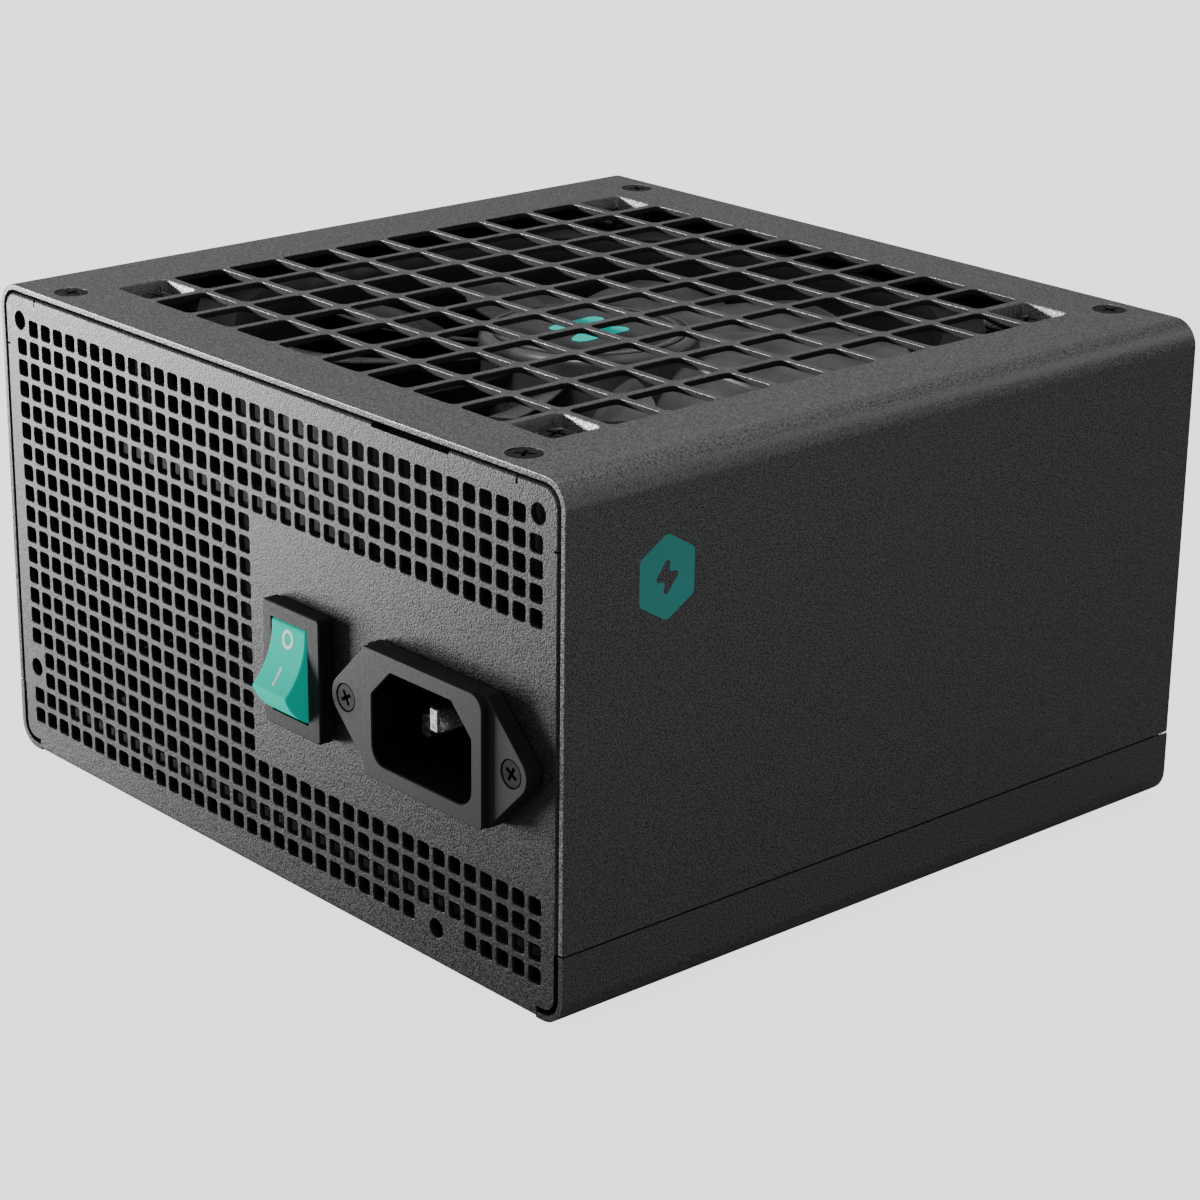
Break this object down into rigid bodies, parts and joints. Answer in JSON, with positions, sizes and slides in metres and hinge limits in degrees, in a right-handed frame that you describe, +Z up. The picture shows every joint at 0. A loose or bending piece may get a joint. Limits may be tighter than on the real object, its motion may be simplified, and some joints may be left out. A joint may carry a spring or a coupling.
{
  "type": "power supply unit",
  "caption": "Desktop computer power supply in a folded black steel case, with a fan under a square grille, a perforated rear panel, a mains inlet, a rocker switch and output sockets.",
  "frame": {"origin": "bottom centre of the unit's bounding box, on the underside of the case", "axes": "+X to the right seen from the rear panel, +Y from the rear panel (inlet and switch) towards the output sockets, +Z up through the fan grille"},
  "size_m": [0.15, 0.1488, 0.086],
  "materials": {
    "powder_coat": "fine textured black powder coat",
    "black_screw": "black oxide, satin",
    "zinc_screw": "zinc plated, satin",
    "fan_plastic": "moulded, satin",
    "blade_plastic": "moulded, semi-gloss",
    "switch_plastic": "moulded, satin",
    "teal_plastic": "moulded, semi-gloss",
    "inlet_plastic": "moulded, matt",
    "tinned_contact": "tin plated, bright",
    "socket_plastic": "moulded, satin",
    "ground_steel": "ground",
    "bearing_bronze": "sintered",
    "ferrite": "pressed ferrite, matt",
    "badge_foil": "printed film, satin",
    "circuit_board": "solder mask, semi-gloss",
    "insulating_film": "film, satin",
    "capacitor_sleeve": "shrink sleeve, semi-gloss",
    "yellow_film": "moulded, satin",
    "copper_winding": "enamelled wire",
    "winding_tape": "tape, satin",
    "heatsink_aluminium": "extruded, satin",
    "wire_insulation": "extruded insulation, satin"
  },
  "bodies": {
    "case": {"upper_cover": "powder_coat", "lower_tray": "powder_coat", "cover_screw_1": "black_screw", "cover_screw_2": "black_screw", "cover_screw_3": "black_screw", "cover_screw_4": "black_screw", "fan_screw_1": "black_screw", "fan_screw_2": "black_screw", "fan_screw_3": "black_screw", "fan_screw_4": "black_screw", "fan_frame": "fan_plastic", "fan_bearing": "bearing_bronze", "fan_stator": "ground_steel", "fan_board": "circuit_board", "fan_lead": "wire_insulation", "switch_housing": "switch_plastic", "switch_terminal_line": "tinned_contact", "switch_terminal_load": "tinned_contact", "inlet_body": "inlet_plastic", "earth_pin": "tinned_contact", "line_pin": "tinned_contact", "neutral_pin": "tinned_contact", "inlet_screw_1": "black_screw", "inlet_screw_2": "black_screw", "line_lead": "wire_insulation", "load_lead": "wire_insulation", "neutral_lead": "wire_insulation", "main_board": "circuit_board", "insulator_sheet": "insulating_film", "board_screw_1": "zinc_screw", "board_screw_2": "zinc_screw", "board_screw_3": "zinc_screw", "board_screw_4": "zinc_screw", "bulk_capacitor": "capacitor_sleeve", "output_capacitor_1": "capacitor_sleeve", "output_capacitor_2": "capacitor_sleeve", "output_capacitor_3": "capacitor_sleeve", "pfc_choke": "copper_winding", "emi_choke": "copper_winding", "x_capacitor": "yellow_film", "primary_heatsink": "heatsink_aluminium", "secondary_heatsink": "heatsink_aluminium", "transformer_core": "ferrite", "transformer_winding": "winding_tape", "standby_transformer": "ferrite", "modular_board": "circuit_board", "motherboard_socket_wide": "socket_plastic", "motherboard_socket_narrow": "socket_plastic", "cpu_socket_1": "socket_plastic", "cpu_socket_2": "socket_plastic", "graphics_socket_1": "socket_plastic", "graphics_socket_2": "socket_plastic", "peripheral_socket_1": "socket_plastic", "peripheral_socket_2": "socket_plastic", "peripheral_socket_3": "socket_plastic"},
    "fan_wheel": {"fan_rotor": "blade_plastic", "hub_badge": "badge_foil", "fan_magnet_ring": "ferrite", "fan_shaft": "ground_steel"},
    "power_rocker": {"switch_rocker": "teal_plastic"}
  },
  "joints": [
    {"name": "fan_spin", "type": "hinge", "parent": "case", "child": "fan_wheel", "pos_m": [0, 0.00285, 0.07], "axis": [0, 0, 1], "continuous": true},
    {"name": "switch_rock", "type": "hinge", "parent": "case", "child": "power_rocker", "pos_m": [0.0119, -0.06615, 0.0399], "axis": [1, 0, 0], "range_deg": [0, 44]}
  ]
}
